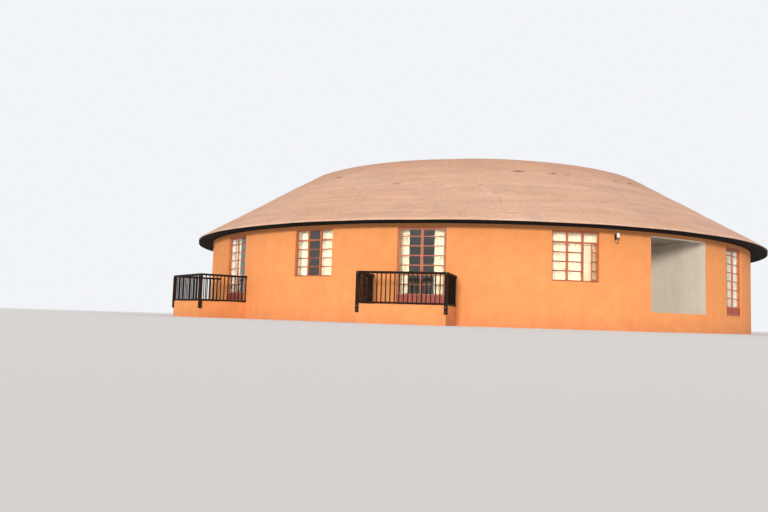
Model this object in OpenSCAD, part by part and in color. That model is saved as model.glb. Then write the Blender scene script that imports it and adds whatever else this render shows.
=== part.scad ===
// Rondavel guest building: a round plastered house with a wide ring-shaped roof,
// french doors with two railed balconies, casement windows and one recessed porch.
// Millimetres, +Z up. The origin is the centre of the round plan at ground level.
// The photographed front looks towards -Y.

/* [Round wall] */
// Radius of the round wall, over the plaster
wall_r = 11300; // [10000:50:12500]
// Thickness of the round wall
wall_t = 280; // [200:10:340]
// Height of the floor above the ground
floor_h = 600; // [400:10:900]
// Height of the door and window heads above the floor
head_h = 2370; // [2100:10:2420]
// Height of the flat ceiling above the door and window heads
ceiling_over = 80; // [60:10:300]
// Thickness of the ceiling boards
ceiling_t = 30; // [20:5:60]

/* [Roof] */
// How far the eave stands out from the wall
overhang = 600; // [300:10:900]
// Height of the eave's top edge above the floor
eave_h = 2540; // [2490:10:2700]
// Height at which the soffit meets the wall, above the floor
soffit_h = 2480; // [2440:10:2490]
// Slope of the lower roof in degrees
roof_slope = 31; // [25:0.5:36]
// Distance from the wall's face in to the line where the roof flattens
rim_in = 4100; // [3000:10:5500]
// Slope of the upper roof in degrees
crown_slope = 8; // [4:0.5:12]
// Radius of the rounded bend between the two slopes
rim_round = 1500; // [600:50:4000]
// Thickness of the roof covering with its battens
roof_t = 90; // [60:5:130]
// Thickness of the soffit board
soffit_t = 18; // [12:1:30]
// Radius of the covering's rolled edge
lip_r = 20; // [12:1:28]
// How far the rolled edge stands out over the fascia
lip_out = 18; // [10:1:30]
// Thickness of the fascia board
fascia_t = 25; // [18:1:40]
// Height of the fascia board
fascia_h = 105; // [80:5:140]
// Height from the fascia's lower edge up to the soffit board
soffit_up = 15; // [8:1:30]

/* [Openings round the wall] */
// Plan angle of the window at the left edge of the photographed side
window_0_at = -165.6; // [-168:0.1:-163]
// Plan angle of the left balcony door
door_1_at = -145.1; // [-147:0.1:-143]
// Plan angle of the left window
window_2_at = -123.3; // [-126:0.1:-121]
// Plan angle of the middle balcony door
door_3_at = -104.2; // [-106:0.1:-102]
// Plan angle of the window with the open casement
window_4_at = -80.5; // [-83:0.1:-79]
// Plan angle of the wall lamp
lamp_at = -73.9; // [-75.5:0.1:-73]
// Plan angle of the door beyond the porch
door_5_at = -43.2; // [-44:0.1:-38]
// Width of every door and window opening
open_w = 1510; // [1300:10:1600]
// Height of a window opening
window_h = 1540; // [1300:10:1700]
// Depth from the wall's edge back to the face of a frame
reveal = 55; // [30:5:90]

/* [Porch] */
// Turn of the passage from the Y axis in degrees
porch_turn = 19.3; // [16:0.1:22]
// Sideways place of the passage's middle, in the turned frame
porch_shift = 1950; // [1850:10:2050]
// Clear width of the passage
porch_w = 2520; // [2300:10:2600]
// Distance from the plan's centre to the passage's back wall
porch_back = 7850; // [7000:50:8800]
// Thickness of the passage's walls
porch_wall_t = 150; // [100:10:220]

/* [Steel doors] */
// Width of the fixed frame's members
frame_w = 35; // [30:5:60]
// Depth of the fixed frame through the wall
frame_d = 60; // [50:5:80]
// Height of the threshold
threshold_h = 30; // [20:5:50]
// Clearance round each door leaf
leaf_gap = 6; // [5:1:10]
// Clearance between the two leaves of a door
meeting_gap = 8; // [7:1:14]
// Thickness of a door leaf
leaf_t = 38; // [32:1:46]
// Width of a leaf's stiles and top rail
stile_w = 36; // [32:1:60]
// Width of a glazing bar
bar_w = 24; // [16:1:32]
// Depth of a glazing bar
bar_t = 24; // [16:1:28]
// Height of the solid kick panel with its rails
kick_h = 290; // [200:10:500]
// Thickness of the kick panel's sheet
kick_t = 8; // [4:1:14]
// Height from one glazing bar to the next
pane_pitch = 295; // [250:5:300]
// Number of full panes between the kick panel and the top pane
pane_rows = 6; // [4:1:6]
// Thickness of the glass
glass_t = 4; // [3:1:8]

/* [Door hinges and handles] */
// Radius of a hinge barrel
barrel_r = 9; // [7:1:12]
// Length of one half of a hinge barrel
barrel_l = 45; // [30:5:70]
// Clearance between a barrel and the faces beside it
barrel_clear = 2; // [1.5:0.5:3]
// Gap between the two halves of a hinge
hinge_gap = 0.3; // [0.2:0.1:0.8]
// Thickness of a hinge flap
flap_t = 3; // [2:0.5:4]
// Width of a hinge flap
flap_w = 30; // [24:2:32]
// Height of the lever above the floor
handle_h = 1020; // [950:10:1150]
// Length of the lever
lever_l = 105; // [80:5:130]
// Radius of the lever
lever_r = 8; // [6:1:10]
// How far the lever stands off its plate
lever_out = 42; // [34:1:50]

/* [Steel windows] */
// Depth of a window frame
sash_d = 40; // [32:1:55]
// Width of a window frame's outer members
sash_w = 40; // [30:1:55]
// Width of the two mullions
mullion_w = 55; // [40:1:75]
// Height of the transom
transom_w = 45; // [35:1:60]
// Height of the top row of panes
fanlight_h = 290; // [220:5:340]
// Angle at which the one open casement stands out
casement_angle = 45; // [20:1:80]
// Width of the open casement's own members
casement_w = 30; // [22:1:40]

/* [Curtains] */
// Thickness of a gathered curtain
curtain_t = 80; // [50:5:120]
// Height of the curtain track under the ceiling
track_h = 25; // [15:1:40]
// Width of the curtain track
track_w = 30; // [20:1:50]
// Length of track beyond each side of an opening
track_over = 220; // [120:10:350]
// Clearance between the wall's inside and the curtains
curtain_off = 50; // [35:5:120]
// Clearance under a long curtain
curtain_lift = 20; // [10:5:60]
// How far a window curtain hangs below the sill
curtain_drop = 120; // [60:10:300]
// Width of a curtain drawn to the side
curtain_w = 520; // [350:10:650]

/* [Balconies] */
// Width of a balcony over its railing
balcony_w = 2650; // [2400:50:3200]
// Distance from the left balcony door's right edge to the railing's outer face
balcony_1_side = 220; // [150:5:450]
// The same at the middle balcony door
balcony_3_side = 350; // [150:5:450]
// How far the railing stands out from the wall
balcony_d = 1680; // [1300:10:2200]
// How far the balcony's top lies below the floor
balcony_step = 40; // [10:5:60]
// Height of the railing above the floor
rail_h = 890; // [850:10:1100]
// Side of a corner post
post_w = 95; // [80:1:120]
// How far a post hangs below the floor
post_drop = 290; // [150:10:350]
// How far a post is let into the masonry
post_let = 50; // [30:5:70]
// Height and width of the top rail
top_rail = 68; // [50:2:80]
// Height and width of the bottom rail
bottom_rail = 55; // [40:1:75]
// Clearance between the balcony's top and the bottom rail
rail_clear = 12; // [5:1:60]
// Side of a baluster
baluster_w = 28; // [20:1:40]
// Distance from one baluster to the next
baluster_pitch = 130; // [90:5:160]

/* [Wall lamp] */
// Height of the shade's foot above the floor
lamp_h = 2200; // [1900:10:2260]
// How far the lamp's middle stands out from the wall
lamp_out = 150; // [110:5:220]
// Radius of the lamp's shade
shade_r = 46; // [42:1:70]
// Height of the lamp's shade
shade_h = 160; // [120:5:240]
// Thickness of the shade's glass
shade_t = 4; // [3:1:8]

/* [Hidden] */
$fn = 64;
// Facets of the great circles when they are drawn
ring_fn = 256;
// How far a cut runs past the faces that it opens
over = 20;
// How much deeper than the wall the block of an opening is, for the wall's curve
curve_spare = 160;
// Longest step of a drawn arc, and what an arc spares beyond its ends, in degrees
arc_step = 1.45;
arc_spare = 0.3;
// Gap at which a hung or set piece seats on what carries it
seat_gap = 0.3;
floor_z = floor_h;
head_z = floor_z + head_h;
ceiling_h = head_h + ceiling_over;
ceiling_z = floor_z + ceiling_h;
soffit_z = floor_z + soffit_h;
eave_z = floor_z + eave_h;
inner_r = wall_r - wall_t;
eave_r = wall_r + overhang;
rim_r = wall_r - rim_in;
// Steps in which the roof's bend and its rolled edge are rounded
rim_steps = 8;
lip_steps = 8;

// Bays of one pitch go round the unseen back, from the last door to the first window
back_bays = 11;
back_pitch = (360 + window_0_at - door_5_at) / back_bays;
back_windows = [for (i = [1 : 2 : back_bays - 1]) door_5_at + i * back_pitch];
back_doors = [for (i = [2 : 2 : back_bays - 1]) door_5_at + i * back_pitch];
// Each balcony's plan angle and its railing's right outer face in the opening's frame
balconies = [[door_1_at, open_w / 2 + balcony_1_side],
    [door_3_at, open_w / 2 + balcony_3_side]];
front_doors = [door_1_at, door_3_at, door_5_at];
shut_windows = concat([window_0_at, window_2_at], back_windows);
all_windows = concat(shut_windows, [window_4_at]);
all_openings = concat(front_doors, back_doors, all_windows);

// Half the width of an opening cuts the round face back by this much
open_face = sqrt(wall_r * wall_r - open_w * open_w / 4);
frame_y = -open_face + reveal;
sill_z = head_z - window_h;

clear_w = open_w - 2 * frame_w;
leaf_z = floor_z + threshold_h + leaf_gap;
leaf_w = (clear_w - 2 * leaf_gap - meeting_gap) / 2;
leaf_h = head_z - frame_w - leaf_gap - leaf_z;
pin_y = frame_y - barrel_r - barrel_clear;
pin_x = clear_w / 2 - leaf_gap / 2;
hinge_end = 240;
hinge_heights = [hinge_end, leaf_h / 2, leaf_h - hinge_end];

pane_w = (open_w - 2 * sash_w - 2 * mullion_w) / 3;
lower_h = window_h - 2 * sash_w - transom_w - fanlight_h;

track_len = open_w + 2 * track_over;
curtain_y = -sqrt(inner_r * inner_r - track_len * track_len / 4) + curtain_off;
track_z = ceiling_z - track_h;

porch_left = porch_shift - porch_w / 2;
porch_right = porch_shift + porch_w / 2;
porch_wall_h = ceiling_h - 2 * seat_gap;

balcony_z = floor_z - balcony_step;
rail_z = floor_z + rail_h;
balcony_y = -wall_r - balcony_d;
bottom_rail_z = balcony_z + rail_clear;
cup_h = 22;

// The roof's outer face at a radius, on the lower slope
function roof_top(r) = eave_z + (eave_r - r) * tan(roof_slope);
// The roof's underside at a radius, on the lower slope
function roof_under(r) = roof_top(r) - roof_t / cos(roof_slope);

// Centre of the arc that rounds the bend, tangent to both slopes
bend_run = rim_round * tan((roof_slope - crown_slope) / 2);
bend_c = [rim_r + bend_run * cos(roof_slope) - rim_round * sin(roof_slope),
    roof_top(rim_r) - bend_run * sin(roof_slope) - rim_round * cos(roof_slope)];
function bend_at(angle, radius) = bend_c + radius * [sin(angle), cos(angle)];
function bend_arc(radius) = [for (i = [0 : rim_steps])
    bend_at(roof_slope + (crown_slope - roof_slope) * i / rim_steps, radius)];
function backwards(list) = [for (i = [len(list) - 1 : -1 : 0]) list[i]];

// Centre of the rolled edge, tangent to the lower slope
lip_c = [eave_r - lip_r, eave_z - lip_r * (1 - sin(roof_slope)) / cos(roof_slope)];
lip_low = lip_c[1] - lip_r;
fascia_out = eave_r - lip_out;
fascia_in = fascia_out - fascia_t;
fascia_low = lip_low - seat_gap - fascia_h;

// Places its children at an opening: x runs to the right seen from outside, -y points out
module at_opening(angle) {
    rotate([0, 0, angle + 90]) children();
}

// Places its children in the porch's turned frame
module in_porch() {
    rotate([0, 0, porch_turn]) children();
}

// Sweeps a profile between two plan angles in even steps, and a spare step past both ends, which
// the straight sides of the opening or of the piece itself then trim. The steps fall on both ends,
// or on the X or Y axis where the arc crosses it.
module sweep_arc(from, to) {
    axis = 90 * ceil(from / 90);
    crosses = axis < to;
    step = crosses ? arc_step : (to - from) / max(1, floor((to - from) / arc_step));
    anchor = crosses ? axis : from;
    first = anchor - step * ceil((anchor - from + arc_spare) / step);
    count = ceil((to + arc_spare - first) / step);
    rotate([0, 0, first])
        rotate_extrude(angle = count * step, $fn = (count - 0.5) * 360 / (count * step))
            children();
}

// The round wall's section from a height up to the roof
module wall_section(low) {
    polygon([[inner_r, low], [wall_r, low],
        [wall_r, roof_under(wall_r) - seat_gap], [inner_r, roof_under(inner_r) - seat_gap]]);
}

// The straight-sided block that one opening takes out of the wall, less a gap at its sides
module opening_block(low, high, gap = 0) {
    translate([-open_w / 2 + gap, -wall_r - over, low])
        cube([open_w - 2 * gap, wall_t + curve_spare, high - low]);
}

// Plan angle at which a line at x in an opening's frame meets the wall's face
function opening_edge(angle, x) = angle + asin(x / wall_r);
// The same for a line at x in the porch's frame, at a given radius
function porch_edge(x, radius) = porch_turn - acos(x / radius);

// The block that the porch passage takes out of the wall, less a gap at its sides
module porch_block(low, high, gap = 0) {
    in_porch()
        translate([porch_left + gap, -wall_r - over, low])
            cube([porch_w - 2 * gap, wall_r - porch_back + over, high - low]);
}

// Solid raised floor on its plastered plinth
module plinth() {
    color("peru")
        cylinder(h = floor_z, r = wall_r, $fn = ring_fn);
}

// A pier of the wall between two plan angles, with the openings' blocks taken out
module pier(from, to) {
    difference() {
        sweep_arc(from, to) wall_section(floor_z + seat_gap);
        children();
    }
}

// Piers between neighbouring openings in a list of plan angles that grow
module piers(angles) {
    for (i = [0 : len(angles) - 2])
        pier(opening_edge(angles[i], open_w / 2), opening_edge(angles[i + 1], -open_w / 2))
            for (angle = [angles[i], angles[i + 1]])
                at_opening(angle) opening_block(floor_z - over, roof_under(inner_r) + over);
}

// Plastered piers of the photographed side, the porch's passage between two of them
module front_wall() {
    color("sandybrown") {
        piers([window_0_at, door_1_at, window_2_at, door_3_at, window_4_at]);
        pier(opening_edge(window_4_at, open_w / 2), porch_edge(porch_left, wall_r)) {
            at_opening(window_4_at) opening_block(floor_z - over, roof_under(inner_r) + over);
            porch_block(floor_z - over, roof_under(inner_r) + over);
        }
        pier(porch_edge(porch_right, wall_r), opening_edge(door_5_at, -open_w / 2)) {
            at_opening(door_5_at) opening_block(floor_z - over, roof_under(inner_r) + over);
            porch_block(floor_z - over, roof_under(inner_r) + over);
        }
        piers([door_5_at, back_windows[0], back_doors[0]]);
    }
}

// Plastered piers of the far side
module back_wall() {
    color("sandybrown")
        piers([for (i = [2 : back_bays]) door_5_at + i * back_pitch]);
}

// Low walls under the windows
module sill_walls() {
    color("sandybrown")
        for (angle = all_windows)
            intersection() {
                sweep_arc(opening_edge(angle, -open_w / 2), opening_edge(angle, open_w / 2))
                    wall_section(floor_z + seat_gap);
                at_opening(angle) opening_block(floor_z, sill_z, seat_gap);
            }
}

// Wall over each opening, up to the roof
module lintels() {
    color("sandybrown")
        for (angle = all_openings)
            intersection() {
                sweep_arc(opening_edge(angle, -open_w / 2), opening_edge(angle, open_w / 2))
                    wall_section(head_z);
                at_opening(angle)
                    opening_block(head_z - over, roof_under(inner_r) + over, seat_gap);
            }
}

// Wall over the mouth of the porch
module porch_lintel() {
    color("sandybrown")
        intersection() {
            sweep_arc(porch_edge(porch_left, wall_r), porch_edge(porch_right, inner_r))
                wall_section(head_z);
            porch_block(head_z - over, roof_under(inner_r) + over, seat_gap);
        }
}

// Flat ceiling inside the round wall, over the rooms and the porch
module ceiling() {
    color("dimgray")
        translate([0, 0, ceiling_z])
            cylinder(h = ceiling_t, r = inner_r - seat_gap, $fn = ring_fn);
}

// One side wall of the porch, from the round wall's inside to the back wall
module porch_side(x) {
    intersection() {
        in_porch()
            translate([x, -wall_r, floor_z + seat_gap])
                cube([porch_wall_t, wall_r - porch_back - seat_gap, porch_wall_h]);
        rotate([0, 0, porch_edge(x, inner_r)])
            translate([0, 0, floor_z])
                cylinder(h = ceiling_h, r = inner_r - seat_gap, $fn = ring_fn);
    }
}

module porch_left_wall() {
    color("ivory") porch_side(porch_left - porch_wall_t);
}

module porch_right_wall() {
    color("ivory") porch_side(porch_right);
}

// Back wall of the porch, with its doorway
module porch_back_wall() {
    color("ivory")
        in_porch()
            difference() {
                translate([porch_left - porch_wall_t, -porch_back, floor_z + seat_gap])
                    cube([porch_w + 2 * porch_wall_t, porch_wall_t, porch_wall_h]);
                translate([porch_shift - open_w / 2, -porch_back - over, floor_z - over])
                    cube([open_w, porch_wall_t + 2 * over, head_h + over]);
            }
}

// Lower roof: a ring-shaped shell from the rolled edge at the eave up to the rounded bend
module roof_skirt() {
    back_r = fascia_in - seat_gap;
    lip = [for (i = [0 : lip_steps])
        lip_c + lip_r * [cos(-90 + i * (180 - roof_slope) / lip_steps),
            sin(-90 + i * (180 - roof_slope) / lip_steps)]];
    color("rosybrown")
        rotate_extrude($fn = ring_fn)
            polygon(concat(
                [[back_r, roof_under(back_r)], [back_r, lip_low]],
                lip,
                bend_arc(rim_round),
                backwards(bend_arc(rim_round - roof_t))));
}

// A point of the crown's outer edge, which meets the lower roof at the end of the bend
function crown_edge(radius) = bend_at(crown_slope, radius)
    + seat_gap * [-1, tan(crown_slope)];

// Upper roof: the shallow cone that closes the top
module roof_crown() {
    outer = crown_edge(rim_round);
    inner = crown_edge(rim_round - roof_t);
    color("rosybrown")
        rotate_extrude($fn = ring_fn)
            polygon([outer, [0, outer[1] + outer[0] * tan(crown_slope)],
                [0, inner[1] + inner[0] * tan(crown_slope)], inner]);
}

// Dark board round the eave, under the covering's rolled edge
module eave_fascia() {
    color("black")
        rotate_extrude($fn = ring_fn)
            translate([fascia_in, fascia_low])
                square([fascia_t, fascia_h]);
}

// Dark board ring under the eave, from the wall's face out to the fascia
module eave_soffit() {
    start_r = wall_r + seat_gap;
    end_r = fascia_in - seat_gap;
    end_z = fascia_low + soffit_up;
    color("black")
        rotate_extrude($fn = ring_fn)
            polygon([[start_r, soffit_z], [end_r, end_z],
                [end_r, end_z + soffit_t], [start_r, soffit_z + soffit_t]]);
}

// One half of a hinge: barrel and flap, its barrel's foot at z = 0, flap towards +x
module hinge_half() {
    cylinder(h = barrel_l, r = barrel_r);
    translate([0, barrel_r + barrel_clear - flap_t, 0])
        cube([flap_w, flap_t, barrel_l]);
    cube([barrel_r, barrel_r + barrel_clear, barrel_l]);
}

// The lower hinge halves, which the fixed posts carry
module post_hinges() {
    for (height = hinge_heights)
        translate([0, 0, leaf_z + height - barrel_l - hinge_gap])
            hinge_half();
}

// The upper hinge halves, which the leaf carries
module leaf_hinges() {
    for (height = hinge_heights)
        translate([0, 0, leaf_z + height])
            hinge_half();
}

// The fixed frame's post at the left of an opening, with its hinge halves
module left_post() {
    translate([-open_w / 2 + seat_gap, frame_y, floor_z + seat_gap])
        cube([frame_w - seat_gap, frame_d, head_h - 2 * seat_gap]);
    translate([-pin_x, pin_y, 0])
        mirror([1, 0, 0]) post_hinges();
}

// Steel posts at both sides of each opening door
module door_posts() {
    color("sienna")
        for (angle = front_doors)
            at_opening(angle) {
                left_post();
                mirror([1, 0, 0]) left_post();
            }
}

// Steel head and threshold between the posts
module door_heads() {
    color("sienna")
        for (angle = front_doors)
            at_opening(angle) {
                translate([-clear_w / 2 + seat_gap, frame_y, head_z - frame_w])
                    cube([clear_w - 2 * seat_gap, frame_d, frame_w - seat_gap]);
                translate([-clear_w / 2 + seat_gap, frame_y, floor_z + seat_gap])
                    cube([clear_w - 2 * seat_gap, frame_d, threshold_h - seat_gap]);
            }
}

// A glazed leaf with its lower left outer corner at the origin: stiles, rails,
// horizontal glazing bars, and a sheet-steel kick panel
module glazed_leaf(wide, high) {
    glass_h = high - kick_h - stile_w;
    difference() {
        cube([wide, leaf_t, high]);
        // The rebate that takes the glass, behind the glazing bars
        translate([stile_w, bar_t, kick_h])
            cube([wide - 2 * stile_w, leaf_t, glass_h]);
        // The panes
        for (row = [0 : pane_rows]) {
            low = kick_h + row * pane_pitch;
            high_end = row == pane_rows ? high - stile_w : low + pane_pitch - bar_w;
            translate([stile_w, -over, low])
                cube([wide - 2 * stile_w, leaf_t + over, high_end - low]);
        }
        // The kick panel's sheet lies in the middle of the leaf's thickness
        for (y = [-over, (leaf_t + kick_t) / 2])
            translate([stile_w, y, stile_w])
                cube([wide - 2 * stile_w, over + (leaf_t - kick_t) / 2, kick_h - 2 * stile_w]);
    }
}

// The sheet of glass that lies against the back of a leaf's bars
module leaf_sheet(wide, high) {
    glass_clear = 1;
    translate([stile_w + glass_clear, bar_t + seat_gap, kick_h + glass_clear])
        cube([wide - 2 * (stile_w + glass_clear), glass_t,
            high - kick_h - stile_w - 2 * glass_clear]);
}

// Lever handle with its plate, on the outer and inner face of the right-hand leaf
module lever_handle() {
    plate_w = 30;
    plate_h = 150;
    plate_t = 5;
    module side_plate() {
        translate([-plate_w / 2, -plate_t, -plate_h / 2])
            cube([plate_w, plate_t, plate_h]);
        rotate([90, 0, 0])
            cylinder(h = lever_out, r = lever_r);
        translate([0, -lever_out + lever_r, 0])
            rotate([0, 90, 0])
                cylinder(h = lever_l, r = lever_r);
    }
    side_plate();
    translate([0, leaf_t, 0])
        mirror([0, 1, 0]) side_plate();
}

// The left leaf of a french door, shut
module left_leaf() {
    translate([-clear_w / 2 + leaf_gap, frame_y, leaf_z])
        glazed_leaf(leaf_w, leaf_h);
    translate([-pin_x, pin_y, 0]) leaf_hinges();
}

// The right leaf, with the handle on its meeting stile
module right_leaf() {
    mirror([1, 0, 0]) left_leaf();
    translate([meeting_gap / 2 + stile_w / 2, frame_y, floor_z + handle_h])
        lever_handle();
}

module left_sheet() {
    translate([-clear_w / 2 + leaf_gap, frame_y, leaf_z])
        leaf_sheet(leaf_w, leaf_h);
}

module right_sheet() {
    mirror([1, 0, 0]) left_sheet();
}

module door1_left_leaf() {
    color("sienna") at_opening(door_1_at) left_leaf();
}

module door1_right_leaf() {
    color("sienna") at_opening(door_1_at) right_leaf();
}

module door1_left_glass() {
    color("lightblue") at_opening(door_1_at) left_sheet();
}

module door1_right_glass() {
    color("lightblue") at_opening(door_1_at) right_sheet();
}

module door3_left_leaf() {
    color("sienna") at_opening(door_3_at) left_leaf();
}

module door3_right_leaf() {
    color("sienna") at_opening(door_3_at) right_leaf();
}

module door3_left_glass() {
    color("lightblue") at_opening(door_3_at) left_sheet();
}

module door3_right_glass() {
    color("lightblue") at_opening(door_3_at) right_sheet();
}

module door5_left_leaf() {
    color("sienna") at_opening(door_5_at) left_leaf();
}

module door5_right_leaf() {
    color("sienna") at_opening(door_5_at) right_leaf();
}

module door5_left_glass() {
    color("lightblue") at_opening(door_5_at) left_sheet();
}

module door5_right_glass() {
    color("lightblue") at_opening(door_5_at) right_sheet();
}

// A french door that stays shut: frame and both leaves as one piece
module shut_door(y) {
    clear_h = head_h - frame_w - threshold_h;
    difference() {
        translate([-open_w / 2 + seat_gap, y, floor_z + seat_gap])
            cube([open_w - 2 * seat_gap, frame_d, head_h - 2 * seat_gap]);
        translate([-clear_w / 2, y - over, floor_z + threshold_h])
            cube([clear_w, frame_d + 2 * over, clear_h]);
    }
    for (x = [-clear_w / 2, 0])
        translate([x, y, floor_z + threshold_h])
            glazed_leaf(clear_w / 2, clear_h);
}

// The glass of a door that stays shut
module shut_door_sheets(y) {
    for (x = [-clear_w / 2, 0])
        translate([x, y, floor_z + threshold_h])
            leaf_sheet(clear_w / 2, head_h - frame_w - threshold_h);
}

// Where the porch's own door stands in its wall
porch_door_y = -porch_back + (porch_wall_t - frame_d) / 2;

// Doors of the far side and of the porch
module back_doors() {
    color("sienna") {
        for (angle = back_doors)
            at_opening(angle) shut_door(frame_y);
        in_porch()
            translate([porch_shift, 0, 0]) shut_door(porch_door_y);
    }
}

module back_door_glass() {
    color("lightblue") {
        for (angle = back_doors)
            at_opening(angle) shut_door_sheets(frame_y);
        in_porch()
            translate([porch_shift, 0, 0]) shut_door_sheets(porch_door_y);
    }
}

// Left edge of a window's column of panes, counted from 0 at the left
function column_x(column) = -open_w / 2 + sash_w + column * (pane_w + mullion_w);

// A steel window frame: outer members, two mullions and the transom
module window_frame() {
    difference() {
        translate([-open_w / 2 + seat_gap, frame_y, sill_z + seat_gap])
            cube([open_w - 2 * seat_gap, sash_d, window_h - 2 * seat_gap]);
        for (column = [0 : 2]) {
            translate([column_x(column), frame_y - over, sill_z + sash_w])
                cube([pane_w, sash_d + 2 * over, lower_h]);
            translate([column_x(column), frame_y - over, head_z - sash_w - fanlight_h])
                cube([pane_w, sash_d + 2 * over, fanlight_h]);
        }
    }
}

module window_frames() {
    color("sienna")
        for (angle = shut_windows)
            at_opening(angle) window_frame();
}

module window4_frame() {
    color("sienna") at_opening(window_4_at) window_frame();
}

// Where a window's glass lies: against the inside of its frame, half over the members
sheet_y = frame_y + sash_d + seat_gap;
sheet_x = open_w / 2 - sash_w / 2;
sheet_low = sill_z + sash_w / 2;
sheet_high = head_z - sash_w / 2;

// A sheet of glass between two places and two heights
module window_sheet(x0, x1, low, high) {
    translate([x0, sheet_y, low])
        cube([x1 - x0, glass_t, high - low]);
}

// One sheet closes each window, and two stand round the open cell of the fourth
module window_glass() {
    open_x = column_x(2) - mullion_w / 2;
    color("lightblue") {
        for (angle = shut_windows)
            at_opening(angle) window_sheet(-sheet_x, sheet_x, sheet_low, sheet_high);
        at_opening(window_4_at) {
            window_sheet(-sheet_x, open_x - glass_t, sheet_low, sheet_high);
            window_sheet(open_x, sheet_x, sill_z + sash_w + lower_h + transom_w / 2, sheet_high);
        }
    }
}

// Clearance round the open casement, and the height of its pin blocks
casement_gap = 3;
block_h = 60;
block_end = 150;
casement_pin_x = column_x(2) + pane_w;
casement_pin_y = frame_y - barrel_r - seat_gap;
casement_wide = pane_w - casement_gap;
casement_high = lower_h - 2 * casement_gap;
// Places its children on the open casement, whose pin is at the origin, sash towards -x
module on_casement() {
    at_opening(window_4_at)
        translate([casement_pin_x, casement_pin_y, sill_z + sash_w])
            rotate([0, 0, casement_angle]) children();
}

// The sash that stands open, with its two pin blocks against the frame's face
module open_casement() {
    color("sienna")
        on_casement() {
            difference() {
                translate([-pane_w + casement_gap, barrel_r, casement_gap])
                    cube([casement_wide, casement_w, casement_high]);
                translate([-pane_w + casement_gap + casement_w, barrel_r - over,
                    casement_gap + casement_w])
                    cube([casement_wide - 2 * casement_w, casement_w + 2 * over,
                        casement_high - 2 * casement_w]);
            }
            for (z = [block_end, lower_h - block_end - block_h])
                translate([0, 0, z]) {
                    cylinder(h = block_h, r = barrel_r);
                    translate([-barrel_r, 0, 0])
                        cube([barrel_r, barrel_r + flap_t, block_h]);
                }
        }
}

module open_casement_glass() {
    inset = casement_w + seat_gap;
    color("lightblue")
        on_casement()
            translate([-pane_w + casement_gap + inset, barrel_r + casement_w / 2,
                casement_gap + inset])
                cube([casement_wide - 2 * inset, glass_t, casement_high - 2 * inset]);
}

// Straight track under the ceiling at one opening
module curtain_track() {
    translate([-track_len / 2, curtain_y + (curtain_t - track_w) / 2, track_z])
        cube([track_len, track_w, track_h - seat_gap]);
}

module curtain_tracks() {
    color("white")
        for (angle = all_openings)
            at_opening(angle) curtain_track();
}

// One gathered curtain under the track, from an x to another, down to a height
module curtain(x0, x1, low) {
    translate([x0, curtain_y, low])
        cube([x1 - x0, curtain_t, track_z - seat_gap - low]);
}

// A pair of curtains of a given width, drawn to both sides
module curtain_pair(wide, low) {
    curtain(-track_len / 2, -track_len / 2 + wide, low);
    curtain(track_len / 2 - wide, track_len / 2, low);
}

// Lower edges of the long and the short curtains, and the gap where a drawn pair meets
long_low = floor_z + curtain_lift;
short_low = sill_z - curtain_drop;
curtain_part = 10;

// Curtains behind the photographed openings
module front_curtains() {
    color("ivory") {
        for (angle = front_doors)
            at_opening(angle) curtain_pair(curtain_w, long_low);
        for (angle = [window_0_at, window_2_at])
            at_opening(angle) curtain_pair(curtain_w, short_low);
        at_opening(window_4_at) curtain_pair((track_len - curtain_part) / 2, short_low);
    }
}

// Curtains behind the other openings
module back_curtains() {
    color("ivory") {
        for (angle = back_doors)
            at_opening(angle) curtain_pair(curtain_w, long_low);
        for (angle = back_windows)
            at_opening(angle) curtain_pair(curtain_w, short_low);
    }
}

// The four-sided corner post of a railing, at the given x, with a clearance round it
module corner_post(x, clear = 0) {
    translate([x - clear, balcony_y - clear, floor_z - post_drop - clear])
        cube([post_w + 2 * clear, post_w + 2 * clear,
            rail_z - top_rail - floor_z + post_drop + clear]);
}

// Plastered masonry base of a balcony, notched where the corner posts are let in
module balcony_base(x1) {
    x0 = x1 - balcony_w;
    side_in = post_w - post_let;
    // The wall's arc is swept away from the axes, so that its steps meet the base's corners
    base_turn = 45;
    difference() {
        translate([x0 + side_in, balcony_y + side_in, 0])
            cube([balcony_w - 2 * side_in, balcony_d + wall_t, balcony_z]);
        rotate([0, 0, -90 - base_turn])
            sweep_arc(opening_edge(base_turn, x0 + side_in), opening_edge(base_turn, x1 - side_in))
                translate([0, -over]) square([wall_r + seat_gap, floor_z + 2 * over]);
        corner_post(x0, seat_gap);
        corner_post(x1 - post_w, seat_gap);
    }
}

// Evenly spread balusters between two ends of a straight rail along x
module balusters(x0, x1, y) {
    count = max(1, round((x1 - x0) / baluster_pitch) - 1);
    step = (x1 - x0) / (count + 1);
    for (i = [1 : count])
        translate([x0 + i * step - baluster_w / 2, y - baluster_w / 2, bottom_rail_z])
            cube([baluster_w, baluster_w, rail_z - bottom_rail_z - top_rail / 2]);
}

// Top and bottom rail with balusters along x, centred on y
module rail_run(x0, x1, y, top_x0, top_x1) {
    translate([top_x0, y - top_rail / 2, rail_z - top_rail])
        cube([top_x1 - top_x0, top_rail, top_rail]);
    translate([x0, y - bottom_rail / 2, bottom_rail_z])
        cube([x1 - x0, bottom_rail, bottom_rail]);
    balusters(x0, x1, y);
}

// The railing's front side with both corner posts
module front_rail(x1) {
    x0 = x1 - balcony_w;
    rail_run(x0 + post_w, x1 - post_w, balcony_y + post_w / 2, x0, x1);
    corner_post(x0);
    corner_post(x1 - post_w);
}

// One side of the railing, from the corner post to the wall, centred on an x
module side_rail(x) {
    top_start = post_w / 2 + top_rail / 2 + seat_gap;
    difference() {
        translate([x, balcony_y, 0])
            rotate([0, 0, 90])
                rail_run(post_w + seat_gap, balcony_d + wall_t, 0,
                    top_start, balcony_d + wall_t);
        rotate([0, 0, opening_edge(-90, x)])
            cylinder(h = 2 * (rail_z + over), r = wall_r + seat_gap, center = true,
                $fn = ring_fn);
    }
}

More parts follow.
